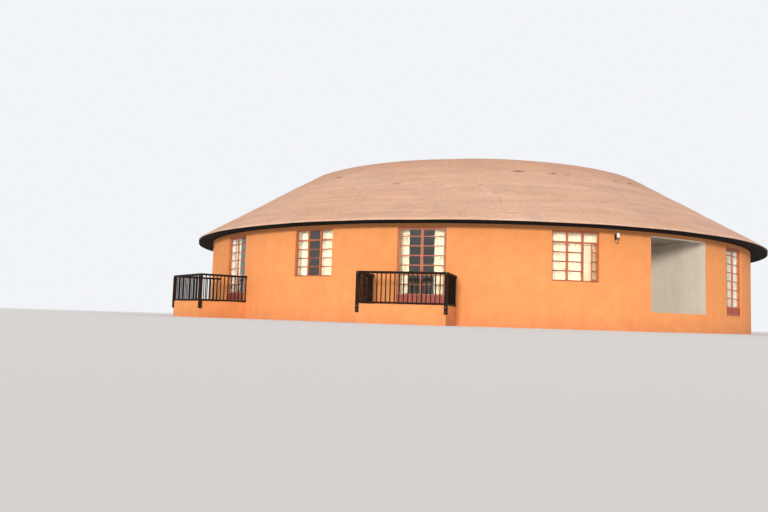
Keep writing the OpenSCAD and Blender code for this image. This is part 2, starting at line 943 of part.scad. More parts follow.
module balcony_bases() {
    color("sandybrown")
        for (balcony = balconies)
            at_opening(balcony[0]) balcony_base(balcony[1]);
}

module balcony_front_rails() {
    color("black")
        for (balcony = balconies)
            at_opening(balcony[0]) front_rail(balcony[1]);
}

module balcony_left_rails() {
    color("black")
        for (balcony = balconies)
            at_opening(balcony[0]) side_rail(balcony[1] - balcony_w + post_w / 2);
}

module balcony_right_rails() {
    color("black")
        for (balcony = balconies)
            at_opening(balcony[0]) side_rail(balcony[1] - post_w / 2);
}

// Bracket of the wall lamp: back plate, an arm that leaves it near its foot and is bent down
// and up again, with a ball under its bend, and the cup that holds the shade
module lamp_bracket() {
    plate_w = 70;
    plate_h = 180;
    plate_t = 14;
    plate_drop = 45;
    arm_r = 9;
    arm_join = 20;
    arm_drop = 100;
    // How much the stub at the plate is thicker and longer than the arm
    collar = 2;
    arm_start = plate_t + arm_r;
    bend_r = (lamp_out - arm_start) / 2;
    ball_r = 14;
    color("black")
        at_opening(lamp_at)
            translate([0, -wall_r - seat_gap, floor_z + lamp_h]) {
                translate([-plate_w / 2, -plate_t, -plate_drop])
                    cube([plate_w, plate_t, plate_h]);
                translate([0, 0, -arm_join])
                    rotate([90, 0, 0])
                        cylinder(h = arm_start + arm_r + collar, r = arm_r + collar);
                translate([0, -arm_start, -arm_drop])
                    cylinder(h = arm_drop - arm_join, r = arm_r);
                translate([0, -arm_start - bend_r, -arm_drop])
                    rotate([90, 0, 90])
                        rotate([0, 0, 180])
                            rotate_extrude(angle = 180)
                                translate([bend_r, 0]) circle(r = arm_r);
                translate([0, -arm_start - bend_r, -arm_drop - bend_r - arm_r - ball_r])
                    sphere(r = ball_r + 1);
                translate([0, -lamp_out, -arm_drop])
                    cylinder(h = arm_drop - cup_h, r = arm_r);
                translate([0, -lamp_out, -cup_h])
                    cylinder(h = cup_h, r1 = arm_r, r2 = shade_r - shade_t);
            }
}

// Shade of white glass, open inside and closed at the top, on the cup
module lamp_shade() {
    color("white")
        at_opening(lamp_at)
            translate([0, -wall_r - seat_gap - lamp_out, floor_z + lamp_h + seat_gap])
                difference() {
                    cylinder(h = shade_h, r = shade_r);
                    translate([0, 0, shade_t])
                        cylinder(h = shade_h - 2 * shade_t, r = shade_r - shade_t);
                }
}

plinth();
front_wall();
back_wall();
sill_walls();
lintels();
porch_lintel();
ceiling();
porch_left_wall();
porch_right_wall();
porch_back_wall();
roof_skirt();
roof_crown();
eave_fascia();
eave_soffit();
door_posts();
door_heads();
door1_left_leaf();
door1_left_glass();
door1_right_leaf();
door1_right_glass();
door3_left_leaf();
door3_left_glass();
door3_right_leaf();
door3_right_glass();
door5_left_leaf();
door5_left_glass();
door5_right_leaf();
door5_right_glass();
back_doors();
back_door_glass();
window_frames();
window4_frame();
window_glass();
open_casement();
open_casement_glass();
curtain_tracks();
front_curtains();
back_curtains();
balcony_bases();
balcony_front_rails();
balcony_left_rails();
balcony_right_rails();
lamp_bracket();
lamp_shade();
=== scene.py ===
"""A round plastered guest building on a raised floor, with a wide ring-shaped roof, french doors
with two railed balconies, casement windows and a recessed porch. Everything is in metres, and the
plan's centre at ground level is the origin. The photographed front looks towards -Y."""
import math

import bpy
import numpy as np
from mathutils import Matrix


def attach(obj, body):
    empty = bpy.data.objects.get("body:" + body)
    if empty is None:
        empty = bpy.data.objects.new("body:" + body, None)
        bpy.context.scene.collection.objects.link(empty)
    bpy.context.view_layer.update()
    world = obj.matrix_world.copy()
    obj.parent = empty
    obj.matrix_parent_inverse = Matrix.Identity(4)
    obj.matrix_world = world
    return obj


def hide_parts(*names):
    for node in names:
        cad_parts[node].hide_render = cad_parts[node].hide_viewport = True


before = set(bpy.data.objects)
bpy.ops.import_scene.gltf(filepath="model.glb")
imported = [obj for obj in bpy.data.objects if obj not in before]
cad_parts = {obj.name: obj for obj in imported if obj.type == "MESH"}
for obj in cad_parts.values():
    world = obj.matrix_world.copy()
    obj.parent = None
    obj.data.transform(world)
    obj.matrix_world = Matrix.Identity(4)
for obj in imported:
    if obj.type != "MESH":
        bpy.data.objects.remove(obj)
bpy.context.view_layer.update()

# ---- Camera: low on the ground in front of the house and a little left of its middle, tilted up
# and turned slightly about its own line of sight, as the photograph was taken.
camera_at, tilt, roll = (-3.90, -33.47, 0.15), math.radians(94.79), math.radians(1.8)
eye = bpy.data.cameras.new("eye")
eye.lens, eye.sensor_width, eye.clip_end = 35.0, 36.0, 600.0
camera = bpy.data.objects.new("camera", eye)
bpy.context.scene.collection.objects.link(camera)
camera.matrix_world = (Matrix.Translation(camera_at) @ Matrix.Rotation(tilt, 4, "X")
                       @ Matrix.Rotation(roll, 4, "Z"))
bpy.context.scene.camera = camera
bpy.context.scene.view_settings.view_transform = "Standard"


# ---- Studio: a pale even sky, two broad soft lamps from the front and a plain pale floor. The
# camera, mirrors and glass see the sky as near white, and everything else gets less light from it.
def linear(code):
    """The linear colour of an sRGB hex code: the power 2.4 curve with its straight foot."""
    parts = [int(code[i:i + 2], 16) / 255 for i in (1, 3, 5)]
    return [p / 12.92 if p <= 0.04045 else ((p + 0.055) / 1.055) ** 2.4 for p in parts] + [1.0]


def add(tree, kind, inputs=None, to=None, **settings):
    """Adds one node: its settings, its inputs, and the input of the surface shader or of the
    material's output that it feeds. Its own inputs go by number, or by name among those in use,
    and take a number, a colour as a hex code, a socket, or a node, which stands for its first
    output in use. Stops are the places and colours of a ramp."""
    made = tree.nodes.new("ShaderNode" + kind)
    for number, (place, code) in enumerate(settings.pop("stops", ())):
        ramp = made.color_ramp.elements
        stop = ramp[number] if number < len(ramp) else ramp.new(place)
        stop.position, stop.color = place, linear(code)
    for name, value in settings.items():
        setattr(made, name, value)
    for place, value in (inputs or {}).items():
        socket = made.inputs[place] if isinstance(place, int) else next(
            each for each in made.inputs if each.enabled and each.name == place)
        if isinstance(value, bpy.types.Node):
            value = next(each for each in value.outputs if each.enabled)
        if isinstance(value, bpy.types.NodeSocket):
            tree.links.new(value, socket)
        else:
            socket.default_value = linear(value) if isinstance(value, str) else value
    if to:
        last = tree.nodes["Material Output" if to == "Surface" else "Principled BSDF"]
        tree.links.new(next(each for each in made.outputs if each.enabled), last.inputs[to])
    return made


def noise(tree, place, scale, detail, roughness=0.5, distortion=0.0):
    """Noise over a place, in clouds about 1/scale m across."""
    return add(tree, "TexNoise", {"Vector": place, "Scale": scale, "Detail": detail,
                                  "Roughness": roughness, "Distortion": distortion})


def blend(tree, factor, a, b, to=None):
    """Colour a turned into colour b by a factor."""
    return add(tree, "Mix", {"Factor": factor, "A": a, "B": b}, to, data_type="RGBA")


def ranged(tree, value, low=0.0, high=1.0, start=0.0, end=1.0, to=None, **settings):
    """A value that goes from start to end while the given one goes from low to high."""
    return add(tree, "MapRange", {"Value": value, "From Min": low, "From Max": high,
                                  "To Min": start, "To Max": end}, to, **settings)


def maths(tree, operation, *values):
    """One step of arithmetic on numbers or sockets."""
    return add(tree, "Math", dict(enumerate(values)), operation=operation)


def bump(tree, height, strength, distance):
    """Relief of the surface, where a height of 1 stands for distance metres at full strength."""
    add(tree, "Bump", {"Height": height, "Strength": strength, "Distance": distance}, "Normal")


SKY = "#f2f4f7"
world = bpy.data.worlds.new("studio_sky")
bpy.context.scene.world = world
world.use_nodes = True
tree = world.node_tree
tree.nodes.clear()
path = add(tree, "LightPath")
seen = maths(tree, "MAXIMUM", path.outputs["Is Camera Ray"], path.outputs["Is Glossy Ray"])
seen = maths(tree, "MAXIMUM", seen, path.outputs["Is Transmission Ray"])
light = add(tree, "Background", {"Color": "#f1f1f4", "Strength": 0.66})
shown = add(tree, "Background", {"Color": SKY, "Strength": 1.0})
add(tree, "OutputWorld", {0: add(tree, "MixShader", {0: seen, 1: light, 2: shown})})

for name, azimuth, height, strength, spread, code in (
        ("key", -16, 6.5, 2.50, 8, "#fff3e4"), ("fill", 60, 40, 0.30, 50, "#eef2ff")):
    lamp = bpy.data.lights.new(name, "SUN")
    lamp.energy, lamp.angle, lamp.color = strength, math.radians(spread), linear(code)[:3]
    stand = bpy.data.objects.new(name, lamp)
    stand.rotation_euler = (math.radians(90 - height), 0, math.radians(azimuth))
    bpy.context.scene.collection.objects.link(stand)


def mesh_object(name, parts, smooth=False):
    """A new object at the origin, whose mesh joins parts: pairs of points, in metres, and faces,
    each of which counts its own points from 0."""
    points, faces = np.zeros((0, 3)), []
    for some, corners in parts:
        faces += [[int(i) + len(points) for i in face] for face in corners]
        points = np.concatenate([points, some])
    mesh = bpy.data.meshes.new(name)
    mesh.from_pydata(points.tolist(), [], faces)
    mesh.polygons.foreach_set("use_smooth", [smooth] * len(mesh.polygons))
    mesh.update()
    made = bpy.data.objects.new(name, mesh)
    bpy.context.scene.collection.objects.link(made)
    return made


def new_material(name, **constants):
    """A material whose surface shader has these constants, their names written with _ for a
    space. Returns it with its nodes and the place on the object, in metres."""
    made = bpy.data.materials.new(name)
    made.use_nodes = True
    tree = made.node_tree
    for place, value in constants.items():
        tree.nodes["Principled BSDF"].inputs[place.replace("_", " ")].default_value = (
            linear(value) if isinstance(value, str) else value)
    return made, tree, add(tree, "TexCoord").outputs["Object"]


# The studio floor fades into the sky 35 to 90 m from the house.
material, tree, where = new_material("studio_floor", Base_Color="#f3f1ed", Roughness=0.9)
far = add(tree, "VectorMath", {0: where}, operation="LENGTH")
far = ranged(tree, far, 35.0, 90.0, interpolation_type="SMOOTHSTEP")
add(tree, "MixShader", {0: far, 1: tree.nodes["Principled BSDF"],
                        2: add(tree, "Emission", {"Color": SKY})}, "Surface")
around, floor_r = np.radians(np.arange(0, 360, 7.5)), 300
floor = mesh_object("studio_floor", [(np.stack(
    [floor_r * np.cos(around), floor_r * np.sin(around), 0 * around], axis=1),
    [range(len(around))])])
floor.data.materials.append(material)


# ---- Round wall: brick piers, sills and lintels under hand-floated cement plaster with orange
# masonry paint, cream paint on the rooms' side and white paint in the porch's passage.
wall_r, inner_r = 11.30, 11.02
porch_turn, porch_left, porch_right, porch_back = math.radians(19.3), 0.69, 3.21, 7.85


def dress(material, *nodes):
    """Gives CAD nodes this finish in their material slots."""
    for name in nodes:
        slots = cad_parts[name].data.materials
        slots.clear()
        slots.append(material)


def plaster(name, deep, colour, pale, foot=0.0):
    """Matt paint on floated plaster, which looks chalky and a little uneven: faint clouds of tone
    2 m and 0.3 m across, rain streaks 0.3 m apart, a few hairline cracks, float marks 90 mm long
    and a sand grain of 12 mm, coarser than the real 2 mm so that it shows. A splash band reaches
    foot m up from the ground. Returns the material, its nodes, place and colour so far."""
    material, tree, where = new_material(name, Roughness=0.92, Specular_IOR_Level=0.25)
    cloud = noise(tree, where, 0.45, 4.0, 0.6)
    mottle = noise(tree, where, 3.2, 5.0, 0.62)
    tone = maths(tree, "MULTIPLY_ADD", cloud, 0.9, mottle)
    drawn = add(tree, "Mapping", {"Vector": where, "Scale": (3.4, 3.4, 0.22)})
    rain = noise(tree, drawn, 1.0, 4.0)
    tone = maths(tree, "MULTIPLY_ADD", rain, 0.7, tone)
    tone = ranged(tree, tone, 0.95, 1.65)
    paint = add(tree, "ValToRGB", {0: tone}, stops=((0.2, deep), (0.5, colour), (0.85, pale)))
    # Hairlines run along the edges of a warped cell pattern, and show in a few patches only
    bent = add(tree, "VectorMath", {0: mottle.outputs["Color"], 1: (0.5, 0.5, 0.5)},
               operation="SUBTRACT")
    bent = add(tree, "VectorMath", {0: bent, "Scale": 0.22}, operation="SCALE")
    bent = add(tree, "VectorMath", {0: bent, 1: where}, operation="ADD")
    cells = add(tree, "TexVoronoi", {"Vector": bent, "Scale": 0.55}, feature="DISTANCE_TO_EDGE")
    hair = ranged(tree, cells, 0.0, 0.0035, 1.0, 0.0)
    few = ranged(tree, cloud, 0.54, 0.60, end=0.30)
    crack = maths(tree, "MULTIPLY", hair, few)
    paint = blend(tree, crack, paint, "#7d5238", "Base Color")
    grain = noise(tree, where, 85.0, 3.0)
    floats = noise(tree, where, 11.0, 4.0, distortion=0.6)
    height = maths(tree, "MULTIPLY_ADD", grain, 0.35, floats)
    height = maths(tree, "MULTIPLY_ADD", crack, -0.6, height)
    bump(tree, height, 0.22, 0.005)
    if foot:
        up = add(tree, "SeparateXYZ", {0: where}).outputs["Z"]
        ragged = maths(tree, "MULTIPLY_ADD", mottle, 0.55, up)
        band = ranged(tree, ragged, 0.1, foot + 0.35, 0.55, 0.0)
        paint = blend(tree, band, paint, "#b9795a", "Base Color")
    return material, tree, where, paint


def mask(tree, number, low, high):
    """1 where a number lies between two values, else 0."""
    above = maths(tree, "GREATER_THAN", number, low)
    below = maths(tree, "LESS_THAN", number, high)
    return maths(tree, "MULTIPLY", above, below)


def in_passage(tree, where):
    """1 between the faces of the porch's side walls and short of the round wall's face, else 0,
    and the distance from the plan's centre. Across and ahead are measured from the centre along
    the porch's own two axes, to 2 mm past the side walls' faces and into its back wall, and the
    round wall's face is left out by 4 mm."""
    flat = add(tree, "VectorMath", {0: where, 1: (1.0, 1.0, 0.0)}, operation="MULTIPLY")
    radius = add(tree, "VectorMath", {0: flat}, operation="LENGTH")
    c, s = math.cos(porch_turn), math.sin(porch_turn)
    across, ahead = [add(tree, "VectorMath", {0: where, 1: axis}, operation="DOT_PRODUCT")
                     for axis in ((c, s, 0), (s, -c, 0))]
    within = maths(tree, "MULTIPLY", mask(tree, across, porch_left - 0.002, porch_right + 0.002),
                   mask(tree, ahead, porch_back - 0.16, 20.0))
    return maths(tree, "MULTIPLY", within, mask(tree, radius, 0.0, wall_r - 0.004)), radius


# The orange paint where it is damp or shaded, plain, and bleached
orange = "#e2955b", "#e6995f", "#e99e64"
material, tree, where, paint = plaster("painted_float_plaster", *orange, foot=0.4)
passage, radius = in_passage(tree, where)
cream = blend(tree, mask(tree, radius, 0.0, inner_r + 0.1), paint, "#f1e9da")
blend(tree, passage, cream, "#efeae0", "Base Color")
dress(material, "front_wall", "back_wall", "sill_walls", "lintels", "porch_lintel")


# ---- Plinth and balcony bases: the same plaster on masonry, under a floor of steel-floated
# cement that is grey-brown, slightly polished by feet and cloudy in patches 0.8 m across.
material, tree, where, paint = plaster("plaster_and_cement_floor", *orange, foot=0.4)
level = mask(tree, add(tree, "SeparateXYZ", {
    0: add(tree, "NewGeometry").outputs["Normal"]}).outputs["Z"], 0.7, 2.0)
clouds = noise(tree, where, 1.3, 6.0, 0.65)
screed = add(tree, "ValToRGB", {0: clouds},
             stops=((0.3, "#9a8570"), (0.55, "#ae9983"), (0.8, "#beab96")))
blend(tree, level, paint, screed, "Base Color")
ranged(tree, level, start=0.92, end=0.5, to="Roughness")
dress(material, "plinth", "balcony_bases")


# ---- Porch: smooth plaster on brick with white emulsion, slightly yellowed, and a flat ceiling
# of boards whose butt joints stand 1.2 m apart, painted cream in the room and grey in the porch.
dress(plaster("white_emulsion_plaster", "#e9e3d8", "#efeae0", "#f3efe6")[0],
      "porch_left_wall", "porch_right_wall", "porch_back_wall")

# Paint brushed on boards is flat and even. Their joints show as darker lines, 16 mm wide where
# the real ones have 3 mm, so that they show.
material, tree, where = new_material("painted_ceiling_board", Roughness=0.85)
laid = add(tree, "Mapping", {"Vector": where, "Rotation": (0, 0, -porch_turn)})
grey, cream = [add(tree, "TexBrick", {
    "Vector": laid, "Color1": board, "Color2": other, "Mortar": gap, "Scale": 1.0,
    "Mortar Size": 0.008, "Brick Width": 2.4, "Row Height": 1.2}) for board, other, gap in (
        ("#aaa399", "#a39c93", "#8b857c"), ("#efe9dd", "#e8e1d4", "#cbc4b7"))]
blend(tree, in_passage(tree, where)[0], cream, grey, "Base Color")
dress(material, "ceiling")


# ---- Roof covering: sheets of a coated felt about 1.2 m wide, laid in rings that lap downhill
# over a boarded ring-shaped roof, with a rolled drip at the eave. It rounds over to a low crown,
# and some laps have curled up, with a short line of painted shadow in the gap under them.
eave_r, eave_z, lip_r = 11.90, 3.14, 0.020
slope, crown_slope = math.radians(31), math.radians(8)
rim_r, rim_round, lap_t, cover_t = 7.20, 1.50, 0.006, 0.050
ring_laps = np.array((0.62, 1.80, 3.00, 4.20, 5.40, 6.60, 7.80, 9.00, 10.20, 11.40))
sheets_round, full_shadow_lift = 28, 0.020
# Curled laps: plan angle and half width in degrees, number of the lap, and lift in metres
curls = ((-85.9, 1.4, 3, 0.024), (-77.3, 1.0, 3, 0.020), (-73.5, 0.6, 3, 0.016),
         (-58.9, 0.9, 3, 0.018), (-53.5, 1.2, 3, 0.020), (-72.7, 0.6, 1, 0.014),
         (-112.5, 1.0, 2, 0.014), (-133.0, 1.3, 3, 0.018), (24.0, 1.2, 3, 0.020),
         (96.0, 1.5, 2, 0.018), (151.0, 1.1, 3, 0.020))


def slope_top(r):
    """Height of the lower slope's face: it rises from the eave with the slope's tangent."""
    return eave_z + (eave_r - r) * math.tan(slope)


bend_run = rim_round * math.tan((slope - crown_slope) / 2)
bend_r = rim_r + bend_run * math.cos(slope) - rim_round * math.sin(slope)
bend_z = slope_top(rim_r) - bend_run * math.sin(slope) - rim_round * math.cos(slope)
bend_low, bend_high = (bend_r + rim_round * math.sin(a) for a in (slope, crown_slope))


def roof_profile(r):
    """Height of the roof's face at a radius: the lower slope, then an arc of rim_round tangent to
    both slopes, then the crown's straight line to the middle."""
    arc = bend_z + np.sqrt(np.maximum(rim_round ** 2 - (r - bend_r) ** 2, 0))
    crown = bend_z + rim_round * math.cos(crown_slope) + (bend_high - r) * math.tan(crown_slope)
    return np.where(r >= bend_low, slope_top(r), np.where(r >= bend_high, arc, crown))


def waver(turn, seed, waves):
    """A periodic ripple round the plan, from -1 to 1: the mean of sines with whole counts."""
    random = np.random.default_rng(seed)
    return sum(np.sin(count * turn + random.uniform(0, 2 * math.pi)) for count in waves
               ) / len(waves)


# How far up its face the roof reaches each of 6000 radii, to look up the radius of any distance
fine_r = np.linspace(eave_r, 0.02, 6000)
fine_up = np.concatenate([[0], np.cumsum(np.hypot(np.diff(fine_r),
                                                  np.diff(roof_profile(fine_r))))])


def curl(turn, up):
    """Lift of the curled laps: a bell across each curl's width that dies away in 0.12 m up the
    sheet, and nothing on the sheet below."""
    start = np.append(0.0, ring_laps)[np.searchsorted(ring_laps, up)]
    total = 0 * turn * up
    for angle, half, lap, lift in curls:
        away = np.abs((np.degrees(turn) - angle + 180) % 360 - 180) / half
        total = total + np.where(np.isclose(start, ring_laps[lap]) & (up > ring_laps[lap]),
                                 lift * np.exp(-away ** 2 - (up - start) / 0.12), 0)
    return total


def eave_ripple(turn):
    """The drip's rise and fall of 9 mm round the eave, in 9 to 31 waves."""
    return 0.009 * waver(turn, 8, (9, 14, 23, 31))


def roof_point(turn, up, lift=0.0):
    """The covering's face at a plan angle and a distance up the roof from the eave: the profile
    plus, along the slope's normal, a lap step that wears off in half a metre, the curls, a slow
    swell of 12 mm, the eave's ripple, which dies away in 0.7 m, and the given lift."""
    turn, up = np.broadcast_arrays(np.asarray(turn, float), np.asarray(up, float))
    r = np.interp(up, fine_up, fine_r)
    tilt = np.where(r >= bend_low, slope, np.where(
        r >= bend_high, np.arcsin(np.clip((r - bend_r) / rim_round, -1, 1)), crown_slope))
    start = np.append(0.0, ring_laps)[np.searchsorted(ring_laps, up)]
    out = np.where(start > 0, lap_t, 0) * np.exp(-(up - start) / 0.5) + curl(turn, up)
    out = out + 0.012 * waver(turn + 0.35 * up, 5, (3, 7, 11, 16)) * np.clip(
        up / 1.5, 0, 1) * np.clip((12.0 - up) / 3, 0, 1)
    out = out + eave_ripple(turn) * np.exp(-up / 0.7) + lift
    r_out = r + out * np.sin(tilt)
    return np.stack([r_out * np.cos(turn), r_out * np.sin(turn),
                     roof_profile(r) + out * np.cos(tilt)], axis=-1)


def roof_rows():
    """Distances up the roof at which the grid has rows: every 0.16 m or so, two rows 4 mm apart
    at each lap, where the upper sheet ends in a small step, and one 30 mm to each side."""
    even = np.arange(0.0, 12.5, 0.16)
    even = even[np.abs(even[:, None] - ring_laps).min(axis=1) > 0.06]
    near = [ring_laps + shift for shift in (-0.030, -0.002, 0.002, 0.030)]
    return np.sort(np.concatenate([even, *near, [fine_up[-1]]]))


def quads_over(rows, columns, close=(0, 0)):
    """The quads between the neighbours of a grid of points that are numbered row by row. Where
    close is 1 for the rows or the columns, the last of them joins the first again."""
    index = np.pad(np.arange(rows * columns).reshape(rows, columns),
                   ((0, close[0]), (0, close[1])), "wrap")
    return np.stack([index[:-1, :-1], index[1:, :-1], index[1:, 1:], index[:-1, 1:]],
                    axis=2).reshape(-1, 4).tolist()


def round_solid(grid, top, low):
    """A closed solid round the vertical axis, from one profile for each step of the turn: quads
    from step to step, and a fan from the profiles' last points to the point top on the axis and
    from their first points to the point low."""
    steps, count = grid.shape[:2]
    first = np.arange(steps) * count
    after = np.roll(first, -1)
    fans = [np.stack([first + count - 1, after + count - 1, 0 * first + steps * count], axis=1),
            np.stack([after, first, 0 * first + steps * count + 1], axis=1)]
    return (np.concatenate([grid.reshape(-1, 3), [top, low]]),
            quads_over(steps, count, (1, 0)) + np.concatenate(fans).tolist())


steps = 512
turn = np.linspace(-math.pi, math.pi, steps, endpoint=False)[:, None]
rows = roof_rows()[None, 1:]
# The rolled drip goes from its inner foot round the nose to where it meets the slope
nose = np.linspace(-math.pi, math.pi / 2 - slope, 11)[None, :-1]
nose_r = eave_r - lip_r + lip_r * np.cos(nose) + 0 * turn
nose_z = (eave_z - lip_r * (1 - math.sin(slope)) / math.cos(slope) + lip_r * np.sin(nose)
          + eave_ripple(turn))
drip = np.stack([nose_r * np.cos(turn), nose_r * np.sin(turn), nose_z], axis=-1)
# The underside, 50 mm under the face, closes the covering from the peak back to the drip's foot
under_up = np.array((0.25, 1.5, 3.0, 4.2, 4.6, 5.0, 5.4, 7.5, 10.0))
underside = roof_point(turn, under_up[None, ::-1], -cover_t)
up_roof = np.concatenate([0 * under_up - 0.2, np.linspace(-0.1, -0.01, nose.shape[1]), rows[0]])
peak_z = float(roof_profile(np.array(0.0)))
cover = mesh_object("roof_cover", [round_solid(
    np.concatenate([underside, drip, roof_point(turn, rows)], axis=1),
    (0.0, 0.0, peak_z), (0.0, 0.0, peak_z - cover_t))], smooth=True)
# The pattern's own map holds sheets counted round the roof and metres up it, and a value per
# point says how strongly painted shadow darkens the gap under a curled lap, in full from a lift
# of 20 mm
corner = np.zeros(len(cover.data.loops), np.int32)
cover.data.loops.foreach_get("vertex_index", corner)
round_at = np.append(np.repeat(np.arange(steps), len(up_roof)) / steps * sheets_round,
                     (0, 0))[corner]
up_at = np.append(np.tile(up_roof, steps), (fine_up[-1] + 0.02, -0.2))[corner]
starts = np.cumsum([0] + [len(face.vertices) for face in cover.data.polygons])
first, last = (np.repeat(best.reduceat(round_at, starts[:-1]), np.diff(starts))
               for best in (np.minimum, np.maximum))
round_at = np.where((last - first > sheets_round / 2) & (round_at < sheets_round / 2),
                    round_at + sheets_round, round_at)
cover.data.uv_layers.new(name="laid").data.foreach_set(
    "uv", np.stack([round_at, up_at], axis=1).ravel().astype(np.float32))
near_lap = np.abs(up_roof[:, None] - ring_laps)
lap_up = ring_laps[near_lap.argmin(axis=1)][None, :] + 0.003
painted_lap_shadow = np.where(near_lap.min(axis=1) < 0.01, curl(turn, lap_up) / full_shadow_lift, 0)
gap = cover.data.attributes.new("gap", "FLOAT", "POINT")
gap.data.foreach_set("value", np.append(np.clip(painted_lap_shadow, 0, 1).ravel(), (0, 0)).astype(np.float32))

# Sun and rain leave the felt's coat matt and chalky pink-brown. It is streaked along the rings,
# greyed in patches 1.2 m across and specked every 140 mm, under a grit of 22 mm that is drawn
# coarser than the real 2 mm so that it shows.
material, tree, where = new_material("weathered_coated_felt", Roughness=0.88,
                                     Specular_IOR_Level=0.3)
laid = add(tree, "UVMap", uv_map="laid")
up = add(tree, "SeparateXYZ", {0: laid}).outputs["Y"]
here = add(tree, "SeparateXYZ", {0: where})
# Streaks lie along the rings: the pattern is stretched 8 times more round than up the slope
shrunk = [maths(tree, "MULTIPLY", part, factor) for part, factor in (
    (here.outputs["X"], 0.3), (here.outputs["Y"], 0.3), (up, 2.4))]
along = add(tree, "CombineXYZ", dict(enumerate(shrunk)))
streak = noise(tree, along, 1.0, 6.0, 0.6, 0.4)
patch = noise(tree, where, 0.8, 6.0, 0.66, 0.5)
speck = noise(tree, where, 7.0, 6.0, 0.7)
coat = add(tree, "ValToRGB", {0: streak}, stops=(
    (0.30, "#cfa388"), (0.46, "#d8ad91"), (0.58, "#deb398"), (0.72, "#e5bca2")))
greyed = ranged(tree, patch, 0.47, 0.70, end=0.62)
coat = blend(tree, greyed, coat, "#bfa697")
# Dust that the rain doesn't carry off lies on the bend and the crown, from 3.4 m up the roof
crown_dust = ranged(tree, up, 3.4, 5.3, end=0.42, interpolation_type="SMOOTHSTEP")
coat = blend(tree, crown_dust, coat, "#b8876b")
dust = ranged(tree, speck, 0.35, 0.7, 0.90, 1.07)
coat = add(tree, "VectorMath", {0: coat, 1: dust}, operation="MULTIPLY")
# Joints of the sheets: lines of 22 mm, twice as wide as the real ones, worn away in parts
joints = add(tree, "TexBrick", {
    "Vector": add(tree, "Mapping", {"Vector": laid, "Location": (0.15, 0.6, 0)}),
    "Color1": "#ffffff", "Color2": "#f3efec", "Mortar": "#000000", "Scale": 1.0,
    "Mortar Size": 0.011, "Mortar Smooth": 0.4, "Brick Width": 1.0, "Row Height": 1.2})
worn = ranged(tree, noise(tree, where, 0.9, 3.0), 0.46, 0.64, end=0.4)
line = maths(tree, "MULTIPLY", joints.outputs["Fac"], worn)
coat = blend(tree, line, coat, "#96796c")
# Painted shadow: the point value gap darkens the gap under each curled lap
lap_shadow = add(tree, "Attribute", attribute_name="gap").outputs["Fac"]
coat = blend(tree, lap_shadow, coat, "#5c463b")
# The rolled drip is painted paler: partly a paler coat, partly a painted highlight where the
# roll catches the light. It is chipped along its nose in spots 0.3 m apart
chipped_highlight = ranged(tree, noise(tree, where, 3.0, 5.0, 0.7), 0.42, 0.56, end=0.55)
pale = maths(tree, "MULTIPLY", mask(tree, up, -1.0, 0.035), chipped_highlight)
blend(tree, pale, coat, "#e2c7b5", "Base Color")
grit = noise(tree, where, 45.0, 4.0)
height = maths(tree, "MULTIPLY_ADD", grit, 0.3, streak)
bump(tree, height, 0.5, 0.010)


def fit(piece, material, body="building"):
    """Gives a piece its material and makes it ride on a body."""
    piece.data.materials.append(material)
    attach(piece, body)


fit(cover, material)
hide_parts("roof_skirt", "roof_crown")


# ---- Sealed joints of the covering: bands of a brushed roof coating some 30 mm wide over joints
# and cracks that run up the roof, wavering by hand, and one broad patch where a sheet was mended.
def tube(rings):
    """A closed tube over a stack of rings of points: quads from ring to ring and two flat ends."""
    n, k = rings.shape[:2]
    ends = [list(range(k)), list(range(n * k - 1, (n - 1) * k - 1, -1))]
    return rings.reshape(-1, 3), quads_over(n, k, (0, 1)) + ends


def roof_band(path, wide, seed):
    """A band on the roof along a path of (plan angle in degrees, distance up): a cut every
    0.12 m of a flat pentagon, 3 mm over the covering in the middle and sunk into it at both
    edges, whose centre and width waver by a few millimetres."""
    random = np.random.default_rng(seed)
    path = np.asarray(path, float)
    ends = np.concatenate([[0], np.cumsum(np.abs(np.diff(path[:, 1])) + 1e-6)])
    n = max(4, int(ends[-1] / 0.12))
    at = np.linspace(0, ends[-1], n)
    turn = np.radians(np.interp(at, ends, path[:, 0]))
    up = np.interp(at, ends, path[:, 1])
    r = np.interp(up, fine_up, fine_r)
    jitter = np.convolve(random.normal(0, 0.014, n + 4), np.ones(5) / 5, "valid")
    half = wide / 2 * (0.85 + 0.3 * random.random(n))
    across = np.array([-1.0, -0.8, 0.8, 1.0, 0.0])
    lift = np.array([-0.004, 0.003, 0.003, -0.004, -0.012])
    angle = turn[:, None] + (jitter[:, None] + half[:, None] * across) / r[:, None]
    points, faces = tube(roof_point(angle, up[:, None] + 0 * angle, lift[None, :]))
    return points, [face[::-1] for face in faces] if up[-1] > up[0] else faces


seams = [(((-103.9, 5.34), (-102.9, 3.40), (-100.8, 1.56), (-100.9, 1.05)), 0.030),
         (((-90.4, 3.95), (-89.4, 1.66)), 0.026), (((-88.6, 1.25), (-89.5, 0.14)), 0.024),
         (((-76.7, 3.77), (-76.2, 1.56)), 0.024), (((-95.0, 2.85), (-93.5, 1.95)), 0.16),
         (((-118.0, 3.9), (-117.2, 2.1)), 0.022), (((-131.0, 2.9), (-130.2, 0.7)), 0.024),
         (((-62.0, 4.1), (-61.3, 1.9)), 0.024), (((-47.5, 2.9), (-47.0, 0.7)), 0.024)]
random = np.random.default_rng(21)
for k in range(3, 19):
    start = -40 + k * 13 + random.uniform(-2, 2)
    foot = ring_laps[random.integers(0, 4)]
    seams.append((((start, foot + 2.3), (start + random.uniform(-1, 1), foot + 0.1)), 0.024))


def clouded(name, scale, detail, roughness, stops, stretch=None, **constants):
    """A finish whose tone drifts through a ramp of colours with one noise, in clouds 1/scale m
    across. Returns the material, its nodes, place, noise and ramp."""
    material, tree, where = new_material(name, **constants)
    drawn = add(tree, "Mapping", {"Vector": where, "Scale": stretch}) if stretch else where
    cloud = noise(tree, drawn, scale, detail, roughness)
    tone = add(tree, "ValToRGB", {0: cloud}, "Base Color", stops=stops)
    return material, tree, where, cloud, tone


